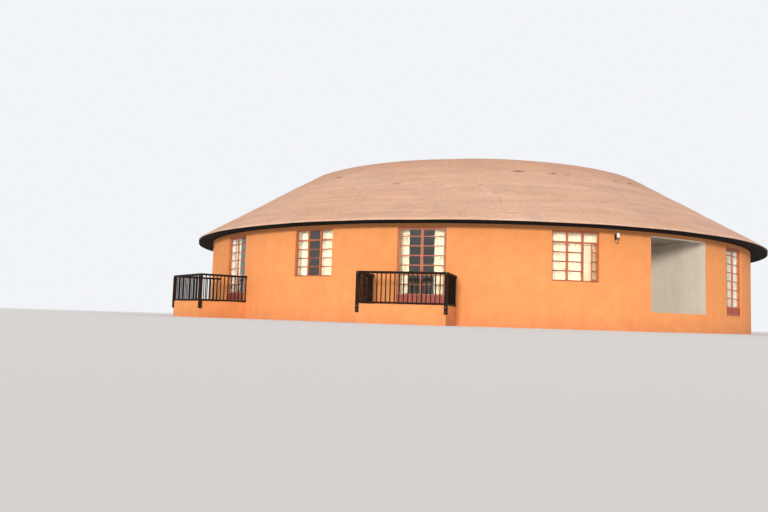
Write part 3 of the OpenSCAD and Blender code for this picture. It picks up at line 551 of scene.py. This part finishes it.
# A thick coating put on by brush dries satin and ropy, in pale and darker dabs 70 mm across
material, tree, _, dabs, _ = clouded(
    "brushed_roof_coating", 14.0, 5.0, 0.65,
    ((0.35, "#cba896"), (0.55, "#d8b5a2"), (0.75, "#e5c8b5")), Roughness=0.72)
bump(tree, dabs, 0.4, 0.003)
fit(mesh_object("roof_sealing_bands", [roof_band(path, wide, i) for i, (path, wide)
                                       in enumerate(seams)], smooth=True),
    material)


# ---- Eave: a fascia of sawn boards 1.5 m long and a boarded soffit, both stained near black
# with creosote that has dried out in streaks, with butt joints between the boards.
eave_boards = 50
# The stain is matt and nearly black. Its grain lies round the ring, 110 mm long and 12 mm high,
# coarser than the real 2 mm so that it shows.
material, tree, where, grain, tone = clouded(
    "creosoted_eave_board", 9.0, 8.0, 0.7,
    ((0.35, "#070505"), (0.6, "#0f0a08"), (0.8, "#201612")), (1, 1, 9), Roughness=0.9,
    Specular_IOR_Level=0.15)
here = add(tree, "SeparateXYZ", {0: where})
turn_at = maths(tree, "ARCTAN2", here.outputs["Y"], here.outputs["X"])
boards = maths(tree, "MULTIPLY", turn_at, eave_boards / (2 * math.pi))
joint = mask(tree, maths(tree, "FRACT", boards), 0.0, 0.004)
blend(tree, joint, tone, "#040303", "Base Color")
height = maths(tree, "SUBTRACT", grain, joint)
bump(tree, height, 0.5, 0.002)
dress(material, "eave_fascia", "eave_soffit")


# ---- Steel doors and windows: welded hot-rolled sections in red-brown gloss enamel that the sun
# has chalked, redder on the kick panels, with brush marks and a little grime in patches.
kick_low, kick_high = 0.672, 0.89
# Old enamel is glossy where it is sound and dull where it is chalked, in clouds 170 mm across.
# Brush marks 17 mm apart, coarser than the bristles' 1 mm, catch the light.
enamel, tree, where, chalk, tone = clouded(
    "chalked_red_brown_enamel", 6.0, 5.0, 0.65,
    ((0.3, "#ab5f43"), (0.55, "#b96c4b"), (0.8, "#c67e5d")), Roughness=0.5)
up = add(tree, "SeparateXYZ", {0: where}).outputs["Z"]
blend(tree, mask(tree, up, kick_low, kick_high), tone, "#a5422f", "Base Color")
ranged(tree, chalk, start=0.38, end=0.68, to="Roughness")
brush = noise(tree, where, 60.0, 3.0)
bump(tree, brush, 0.25, 0.001)
leaves = [f"door{number}_{side}_leaf" for number in (1, 3, 5) for side in ("left", "right")]
dress(enamel, "door_posts", "door_heads", "back_doors", "window_frames", "window4_frame",
      "open_casement", *leaves)


# ---- Glass: clear float glass 4 mm thick, puttied into the steel from outside, slightly green
# at its edge. It mirrors the sky, and lamps shine through it to light the curtains behind it.
material, tree, _ = new_material("clear_float_glass", Base_Color="#f6f9f8", Roughness=0.02,
                                 IOR=1.5, Transmission_Weight=1.0)
add(tree, "MixShader", {0: add(tree, "LightPath").outputs["Is Shadow Ray"],
                        1: tree.nodes["Principled BSDF"],
                        2: add(tree, "BsdfTransparent", {"Color": "#f3f6f5"})}, "Surface")
dress(material, "window_glass", "open_casement_glass", "back_door_glass",
      *[leaf.replace("leaf", "glass") for leaf in leaves])


# ---- Glazing bars: rolled T sections 24 mm wide, three across every lower pane column of each
# window and of the casement that stands open, welded between the frame's members.
open_w, head_z, sill_z, reveal, seat = 1.51, 2.97, 1.43, 0.055, 0.0003
frame_y = -math.sqrt(wall_r ** 2 - open_w ** 2 / 4) + reveal
sash_w, sash_d, mullion_w, transom_w, fanlight_h = 0.040, 0.040, 0.055, 0.045, 0.290
bar_w, weld = 0.024, 0.002
pane_w = (open_w - 2 * sash_w - 2 * mullion_w) / 3
lower_z, lower_h = sill_z + sash_w, head_z - sill_z - 2 * sash_w - transom_w - fanlight_h
columns = [-open_w / 2 + sash_w + i * (pane_w + mullion_w) for i in range(3)]
# The openings' plan angles: those that show, and the rest at one pitch round the far side
window_0, window_2, window_4, door_5 = -165.6, -123.3, -80.5, -43.2
pitch = (360 + window_0 - door_5) / 11
back_windows = [door_5 + i * pitch for i in range(1, 11, 2)]
shut_windows = [window_0, window_2] + back_windows
casement_w, pin_r, casement_gap, casement_turn = 0.030, 0.009, 0.003, 45
casement_at = np.array((columns[2] + pane_w, frame_y - pin_r - seat, lower_z))


def spun(points, degrees):
    """Points turned about the vertical axis through the origin."""
    t = math.radians(degrees)
    x, y, z = np.moveaxis(np.asarray(points, float), -1, 0)
    return np.stack([x * math.cos(t) - y * math.sin(t), x * math.sin(t) + y * math.cos(t), z],
                    axis=-1)


def turned(part, angle):
    """A part of an opening's own frame, x to the right seen from outside and -y outwards, turned
    to the opening's plan angle in degrees."""
    return spun(part[0], angle + 90), part[1]


def on_casement(part):
    """A part of the open casement's frame, its pin at the origin and the sash towards -x, turned
    about the pin and set at the right edge of the last column of window 4."""
    return turned((spun(part[0], casement_turn) + casement_at, part[1]), window_4)


def prism(outline, start, end):
    """A closed outline of (depth, height) points carried straight along x from start to end."""
    return tube(np.stack([np.column_stack([np.full(len(outline), x), outline])
                          for x in (start, end)]))


def bar_outline(y, z, nose, deep, flange):
    """Outline of a T bar from its thin web's nose at depth y to the flange 24 mm high at its
    back, with the fillets of 3 to 4 mm that the rolls leave between them."""
    front = [(y, z - nose), (y, z + nose), (y + deep - flange - 0.004, z + nose),
             (y + deep - flange, z + nose + 0.003), (y + deep - flange, z + bar_w / 2),
             (y + deep, z + bar_w / 2)]
    return front + [(at, 2 * z - up) for at, up in front[:1:-1]]


pane_heights = [lower_h * i / 4 for i in (1, 2, 3)]
sash_left, sash_right = -pane_w + casement_gap + casement_w, -casement_w
parts = [turned(prism(bar_outline(frame_y + 0.004, lower_z + z, 0.0035, 0.0355, 0.004),
                      x - weld, x + pane_w + weld), angle)
         for angle, shut in [(a, 3) for a in shut_windows] + [(window_4, 2)]
         for x in columns[:shut] for z in pane_heights]
parts += [on_casement(prism(bar_outline(y, z, 0.003, deep, 0.003), sash_left - weld,
                            sash_right + weld))
          for z in pane_heights for y, deep in ((pin_r + 0.002, 0.0125), (pin_r + 0.0196, 0.008))]
fit(mesh_object("glazing_bars", parts), enamel)


# ---- Putty: linseed putty struck off to a slope round every pane on the outer side, painted over
# with the frames' enamel and shrunk a little, so that its edge wavers.
back_doors = [door_5 + i * pitch for i in range(2, 11, 2)]
front_doors = {1: -145.1, 3: -104.2, 5: door_5}
floor_z, frame_w, leaf_gap, meeting_gap, stile_w, leaf_h = 0.60, 0.035, 0.006, 0.008, 0.036, 2.293
clear_w = open_w - 2 * frame_w
leaf_w, leaf_z = (clear_w - 2 * leaf_gap - meeting_gap) / 2, floor_z + 0.036
kick_h, pane_pitch, pane_rows = 0.290, 0.295, 6
shut_z, shut_h, shut_w = floor_z + 0.030, 2.305, clear_w / 2
porch_door_x, porch_door_y = 1.95, -7.805


def bead(x0, x1, z0, z1, back, deep, wide, seed):
    """Putty round one pane, seen from -y: from the members' edge, deep in front of the glass, it
    slopes to a line on the glass that lies wide inside the pane and wavers by a fifth. Each side
    has 6 cuts. A back and an outer face close it."""
    random = np.random.default_rng(seed)
    cuts = np.linspace(0, 1, 7)[:-1, None]
    corners = np.array([(x0, z0), (x1, z0), (x1, z1), (x0, z1)])
    inset = corners + np.array([(1, 1), (-1, 1), (-1, -1), (1, -1)]) * wide
    outer, inner = (np.concatenate([a + (b - a) * cuts for a, b in zip(c, np.roll(c, -1, 0))])
                    for c in (corners, inset))
    inner = inner + (outer - inner) * random.uniform(-0.05, 0.2, (len(inner), 1))
    rings = np.stack([np.insert(ring, 1, y, axis=1) for ring, y in (
        (outer, back - deep), (inner, back), (outer, back))], axis=1)
    return rings.reshape(-1, 3), quads_over(len(outer), 3, (1, 1))


def leaf_panes(x0, z0, wide, high):
    """The pane openings (x0, x1, z0, z1) of a glazed leaf, from the kick panel upwards."""
    for row in range(pane_rows + 1):
        low = z0 + kick_h + row * pane_pitch
        top = z0 + high - stile_w if row == pane_rows else low + pane_pitch - bar_w
        yield x0 + stile_w, x0 + wide - stile_w, low, top


def between_bars(low, *rest):
    """The panes (z0, z1) between a low edge, the glazing bars and the rest of the edges."""
    edges = [low] + [lower_z + z + s for z in pane_heights for s in (-bar_w / 2, bar_w / 2)]
    edges += rest
    return list(zip(edges[::2], edges[1::2]))


parts = []
fanlight = (lower_z + lower_h, head_z - sash_w - fanlight_h, head_z - sash_w)
for angle in shut_windows + [window_4]:
    for i, x in enumerate(columns):
        rows = between_bars(lower_z, *fanlight)
        for z0, z1 in rows[4:] if angle == window_4 and i == 2 else rows:
            parts.append(turned(bead(x, x + pane_w, z0, z1, frame_y + sash_d, 0.013, 0.009,
                                     len(parts)), angle))
for z0, z1 in between_bars(lower_z + casement_gap + casement_w,
                           lower_z + lower_h - casement_gap - casement_w):
    parts.append(on_casement(bead(sash_left, sash_right, z0 - lower_z, z1 - lower_z,
                                  pin_r + casement_w / 2 - seat, 0.010, 0.008, len(parts))))
fit(mesh_object("window_putty", parts), enamel)

parts = []
for angle, middle, depth in [(a, 0.0, frame_y) for a in back_doors] + [
        (math.degrees(porch_turn) - 90, porch_door_x, porch_door_y)]:
    for x0 in (middle - shut_w, middle):
        for pane in leaf_panes(x0, shut_z, shut_w, shut_h):
            parts.append(turned(bead(*pane, depth + bar_w, 0.012, 0.009, len(parts)), angle))
fit(mesh_object("shut_door_putty", parts), enamel)
for number, angle in front_doors.items():
    for side in ("left", "right"):
        parts = []
        for x0, x1, z0, z1 in leaf_panes(-clear_w / 2 + leaf_gap, leaf_z, leaf_w, leaf_h):
            x0, x1 = (x0, x1) if side == "left" else (-x1, -x0)
            parts.append(turned(bead(x0, x1, z0, z1, frame_y + bar_w, 0.012, 0.009, len(parts)),
                                angle))
        fit(mesh_object(f"door{number}_{side}_putty", parts), enamel,
            f"door{number}_{side}")


# ---- Ironmongery: turned caps on the hinge pins, the lock's keyhole and screws on the handle
# plates, and on the open casement a flat stay with its peg and the cockspur that fastens it.
def revolved(profile, steps=14):
    """A profile of (radius, height) points turned round the z axis, from the lowest point to the
    highest, both on the axis, where the faces close to a point."""
    turn = np.linspace(0, 2 * math.pi, steps, endpoint=False)[:, None]
    r, z = np.array(profile[1:-1]).T
    return round_solid(np.stack([r * np.cos(turn), r * np.sin(turn), z + 0 * turn], axis=-1),
                       (0, 0, profile[-1][1]), (0, 0, profile[0][1]))


def moved(part, x, y, z):
    """A part carried to a place."""
    return part[0] + (x, y, z), part[1]


def mirrored(part, signs):
    """A part with the signs of some of its axes changed, and its faces turned to look out."""
    return part[0] * signs, [face[::-1] for face in part[1]]


def facing_out(part, x, y, z):
    """A revolved part laid so that its top faces -y, with its foot at a place."""
    return moved((part[0][:, (0, 2, 1)] * (1, -1, 1), part[1]), x, y, z)


def box(x0, x1, y0, y1, z0, z1, edge=0.0008):
    """A flat bar between two corners, with its long edges broken by a narrow chamfer."""
    outline = [(y0 + edge, z0), (y0, z0 + edge), (y0, z1 - edge), (y0 + edge, z1),
               (y1 - edge, z1), (y1, z1 - edge), (y1, z0 + edge), (y1 - edge, z0)]
    return prism(outline, x0, x1)


def small_steel(name, parts, body, material):
    """One object of small steel pieces on a body."""
    made = mesh_object(name, parts, smooth=True)
    fit(made, material, body)
    made.data.set_sharp_from_angle(angle=math.radians(40))


# Zinc plate dulls to grey in use, and wears in spots of 25 mm to bright and to brownish steel
iron = clouded("worn_zinc_steel", 40.0, 5.0, 0.7, (
    (0.35, "#6f655c"), (0.6, "#97918a"), (0.8, "#b3aea7")), Metallic=0.85, Roughness=0.42)[0]

pin_x, pin_y, barrel_h = clear_w / 2 - leaf_gap / 2, frame_y - 0.011, 0.090
hinge_heights = 0.240, leaf_h / 2, leaf_h - 0.240
cap = revolved(((0, 0), (0.0075, 0.0004), (0.0080, 0.002), (0.0068, 0.0045), (0.0040, 0.0062),
                (0, 0.0068)))
screw = revolved(((0, -0.0004), (0.0038, -0.0003), (0.0036, 0.0008), (0.0020, 0.0015),
                  (0, 0.0017)))
key_hole = revolved(((0, -0.0003), (0.0080, -0.0002), (0.0080, 0.0022), (0.0062, 0.0030),
                     (0.0052, 0.0030), (0.0048, 0.0012), (0, 0.0010)), 18)
lock_x, lock_z = 0.004 + stile_w / 2, floor_z + 1.02
for number, angle in front_doors.items():
    for side, sign in (("left", -1), ("right", 1)):
        tops = [leaf_z + height + barrel_h / 2 for height in hinge_heights]
        small_steel(f"door{number}_{side}_pin_caps", [turned(moved(
            cap, sign * pin_x, pin_y, top), angle) for top in tops],
            f"door{number}_{side}", enamel)
        small_steel(f"door{number}_{side}_post_caps", [turned(moved(
            mirrored(cap, (1, 1, -1)), sign * pin_x, pin_y, top - barrel_h - seat), angle)
            for top in tops], "building", enamel)
    parts = []
    for part, z in ((key_hole, lock_z - 0.045), (screw, lock_z - 0.064), (screw, lock_z + 0.064)):
        outer = facing_out(part, lock_x, frame_y - 0.005, z)
        inner = moved(mirrored(outer, (1, -1, 1)), 0, 2 * frame_y + 0.038, 0)
        parts += [turned(outer, angle), turned(inner, angle)]
    small_steel(f"door{number}_lock", parts, f"door{number}_right", iron)

# The stay runs from a peg on the sash to a peg on the frame, and 0.1 m past it
start = (spun((-0.235, pin_r + casement_w + 0.004, 0.0), casement_turn) + casement_at)[:2]
end = np.array((columns[2] + pane_w - 0.16, frame_y + 0.028))
stay, faces = box(-0.012, math.hypot(*(end - start)) + 0.10, -0.007, 0.007, 0, 0.003)
stay = spun(stay, math.degrees(math.atan2(*(end - start)[::-1])))
peg = revolved(((0, 0), (0.0045, 0.0002), (0.0045, 0.020), (0.0030, 0.023), (0, 0.024)))
parts = [turned(moved((stay, faces), *start, lower_z + 0.016), window_4),
         turned(moved(peg, *start, lower_z + 0.003), window_4),
         turned(moved(peg, *end, lower_z), window_4)]
# The cockspur's plate, its boss and its handle
spur_x, spur_z = -pane_w + casement_gap, lower_h * 0.42
for x0, x1, y0, y1, z0, z1 in ((0.004, 0.026, 0.039, 0.043, 0.0, 0.11),
                               (0.009, 0.021, 0.043, 0.056, 0.02, 0.034),
                               (0.010, 0.020, 0.052, 0.060, 0.02, 0.125)):
    parts.append(on_casement(box(spur_x + x0, spur_x + x1, y0, y1, spur_z + z0, spur_z + z1)))
small_steel("casement_stay_and_cockspur", parts, "building", iron)


# ---- Curtains: unlined cotton in cream, gathered by a heading tape on a white track. Each is
# one flat cloth that hangs in deep soft folds, straighter at the top and wider at the hem.
ceiling_z, track_h, track_past, track_off = 3.05, 0.025, 0.22, 0.05
curtain_t, curtain_w, cloth_t, fold = 0.08, 0.52, 0.0012, 0.054
track_len = open_w + 2 * track_past
curtain_y = -math.sqrt(inner_r ** 2 - track_len ** 2 / 4) + track_off
curtain_top, hem_z, short_z = ceiling_z - track_h - seat, floor_z + 0.02, sill_z - 0.12

# Thin cotton is matt, with a soft sheen over its folds, and its tint drifts over 0.5 m. The weave
# is drawn every 8 mm, coarser than the threads' 0.5 mm, so that it shows.
cotton, tree, where, _, _ = clouded(
    "cream_cotton_cloth", 2.0, 3.0, 0.5, ((0.3, "#ecdcc2"), (0.6, "#f1e3cb"), (0.85, "#f5ead5")),
    Roughness=0.95, Sheen_Weight=0.25)
weave = noise(tree, where, 120.0, 2.0)
bump(tree, weave, 0.3, 0.001)


def curtain_grid(x0, x1, low, seed):
    """A gathered cloth on a grid: x runs from x0 to x1 and swings 5 mm with the folds, y is a
    sine fold every 54 mm whose depth grows from 10 mm at the heading to 22 mm at the hem and
    wanders by a third, z runs from the heading to the hem."""
    random = np.random.default_rng(seed)
    across = int((x1 - x0) / 0.006)
    u, v = np.meshgrid(np.linspace(0, 1, across), np.linspace(0, 1, 28), indexing="ij")
    folds = (x1 - x0) / fold
    phase = 2 * math.pi * (folds * u + 0.25 * np.sin(2 * math.pi * (u * 1.7 + random.random()))
                           + 0.12 * v * np.sin(2 * math.pi * (u * 2.3 + random.random())))
    depth = (0.010 + 0.012 * v ** 0.6) * (0.82 + 0.18 * np.sin(
        2 * math.pi * (folds / 3.3 * u + random.random())))
    x = x0 + 0.008 + (x1 - x0 - 0.016) * u + 0.004 * v * np.sin(2 * phase)
    y = curtain_y + curtain_t / 2 + depth * np.sin(phase)
    z = curtain_top - v * (curtain_top - low)
    return np.stack([x, y, z], axis=2)


def hang(name, angle, x0, x1, low, seed):
    grid = curtain_grid(x0, x1, low, seed)
    cloth = mesh_object(name, [(spun(grid, angle + 90).reshape(-1, 3),
                                quads_over(*grid.shape[:2]))], smooth=True)
    shell = cloth.modifiers.new("thickness", "SOLIDIFY")
    shell.thickness, shell.offset = cloth_t, 0.0
    fit(cloth, cotton)
    return cloth


# Window 4's two curtains are drawn together, and two others are drawn wider than the rest
end = track_len / 2
half = end + 0.0062
seed = 0
for name, angle, left_w, right_w, low in (
        [(f"door{n}", a, curtain_w, curtain_w + (0.14 if n == 3 else 0), hem_z)
         for n, a in front_doors.items()]
        + [("window0", window_0, curtain_w, curtain_w, short_z),
           ("window2", window_2, curtain_w, curtain_w + 0.38, short_z),
           ("window4", window_4, half, half, short_z)]
        + [(f"back_door{i}", a, curtain_w, curtain_w, hem_z) for i, a in enumerate(back_doors)]
        + [(f"back_window{i}", a, curtain_w, curtain_w, short_z)
           for i, a in enumerate(back_windows)]):
    for side, x0, x1 in (("left", -end, -end + left_w), ("right", end - right_w, end)):
        cloth = hang(f"curtain_{name}_{side}", angle, x0, x1, low, seed)
        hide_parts("back_curtains" if name.startswith("back") else "front_curtains")
        seed += 1

# ---- Curtain tracks: extruded aluminium with a white powder coat. It is satin and smooth, and
# slightly dusty in patches 110 mm long.
dress(clouded("white_coated_track", 9.0, 4.0, 0.5, ((0.3, "#d9d6cf"), (0.7, "#efeee9")),
              Roughness=0.45)[0], "curtain_tracks")


# ---- Balcony railings: square treated timber, creosoted near black and bleached in the grain,
# which runs up the posts and balusters and along the rails. Cup-headed bolts hold the joints.
rail_z, balcony_z, post_w = 1.49, 0.56, 0.095
balcony_x1, balcony_w, balcony_y = {1: open_w / 2 + 0.22, 3: open_w / 2 + 0.35}, 2.65, -12.98


def fibres(tree, where, angle, along):
    """Noise drawn out 14 times along one axis, 0, 1 or 2, of a frame turned to a plan angle. The
    fibres are 28 mm wide and 0.4 m long, coarser than real grain so that they show."""
    own = add(tree, "Mapping", {"Vector": where, "Rotation": (0, 0, -math.radians(angle + 90))})
    stretch = [22.0, 22.0, 22.0]
    stretch[along] = 1.6
    drawn = add(tree, "Mapping", {"Vector": own, "Scale": stretch})
    return noise(tree, drawn, 1.6, 7.0, 0.7)


def creosoted(name, along):
    """Creosoted timber, matt and near black with paler brown grain. Its rails run along axis 0 or
    1 of their own balcony's frame. The left balcony lies beyond x = -7 m, and rails are told from
    posts by their height."""
    material, tree, where = new_material(name, Roughness=0.85, Specular_IOR_Level=0.2)
    here = add(tree, "SeparateXYZ", {0: where})
    up = here.outputs["Z"]
    lying = add(tree, "Mix", {"Factor": mask(tree, here.outputs["X"], -20.0, -7.0),
                              "A": fibres(tree, where, front_doors[3], along),
                              "B": fibres(tree, where, front_doors[1], along)})
    rail = maths(tree, "MAXIMUM", mask(tree, up, rail_z - 0.068, rail_z + 0.1),
                 mask(tree, up, balcony_z, 0.627))
    grain = add(tree, "Mix", {"Factor": rail, "A": fibres(tree, where, 0, 2), "B": lying})
    add(tree, "ValToRGB", {0: grain}, "Base Color",
        stops=((0.3, "#130b08"), (0.55, "#271810"), (0.8, "#4d3121")))
    bump(tree, grain, 0.6, 0.002)
    return material


dress(creosoted("creosoted_front_timber", 0), "balcony_front_rails")
dress(creosoted("creosoted_side_timber", 1), "balcony_left_rails", "balcony_right_rails")

washer_bolt = revolved(((0, -0.0003), (0.016, -0.0002), (0.016, 0.0018), (0.0105, 0.0022),
                        (0.0100, 0.0035), (0.0070, 0.0062), (0, 0.0075)), 18)
# Each corner post has two bolts at its foot, and one at the rail, whose face lies 13.5 mm back
for number, x1 in balcony_x1.items():
    fit(mesh_object(f"balcony{number}_bolts", [
        turned(facing_out(washer_bolt, x, balcony_y + back, z), front_doors[number])
        for x in (x1 - balcony_w + post_w / 2, x1 - post_w / 2)
        for z, back in ((0.375, 0.0), (0.500, 0.0), (rail_z - 0.034, 0.0135))], smooth=True),
        iron)


# ---- Wall lamp: a bracket of cast metal in satin black with a closed cylinder of opal glass,
# held by a rolled gallery ring with three thumb screws.
lamp_at, lamp_reach, lamp_z = -73.9, 0.150, floor_z + 2.20
# Paint on a sand casting is satin and faintly pitted, every 11 mm, coarser than the sand so that
# it shows. The small ball under the arm's bend has a pale finish.
material, tree, where, _, tone = clouded(
    "satin_black_casting", 90.0, 4.0, 0.5, ((0.3, "#171413"), (0.7, "#2b2522")), Metallic=0.0,
    Roughness=0.42)
up = add(tree, "SeparateXYZ", {0: where}).outputs["Z"]
blend(tree, mask(tree, up, 0.0, lamp_z - 0.1735), tone, "#dccdb4", "Base Color")
dress(material, "lamp_bracket")
# The ring's wire, an oval of 4 by 10 mm, is carried round the shade in 36 steps
round_wire, around = (np.linspace(0, 2 * math.pi, n, endpoint=False) for n in (10, 36))
ring = np.column_stack([0.0472 + 0.0022 * np.cos(round_wire), 0 * round_wire,
                        0.006 + 0.0050 * np.sin(round_wire)])
ring = np.stack([spun(ring, angle) for angle in np.degrees(around)])
thumb = revolved(((0, 0), (0.0022, 0.0001), (0.0022, 0.007), (0.0045, 0.0075), (0.0045, 0.0105),
                  (0, 0.011)), 12)
screws = [turned(facing_out(thumb, 0, -0.0485, 0.006), angle) for angle in (-90, 30, 150)]
parts = [moved(part, 0, -wall_r - seat - lamp_reach, lamp_z)
         for part in [(ring.reshape(-1, 3), quads_over(36, 10, (1, 1)))] + screws]
parts += [facing_out(washer_bolt, 0, -wall_r - 0.0143, lamp_z + z) for z in (-0.030, 0.120)]
gallery = mesh_object("lamp_gallery_and_screws", [turned(part, lamp_at) for part in parts],
                      smooth=True)
fit(gallery, material)

# Opal glass is milky under a clear gloss of its own, and its white drifts faintly over 70 mm
dress(clouded("opal_glass_shade", 14.0, 2.0, 0.5, ((0.3, "#ece9e0"), (0.7, "#f8f6f0")),
              Roughness=0.22, Coat_Weight=0.4)[0], "lamp_shade")
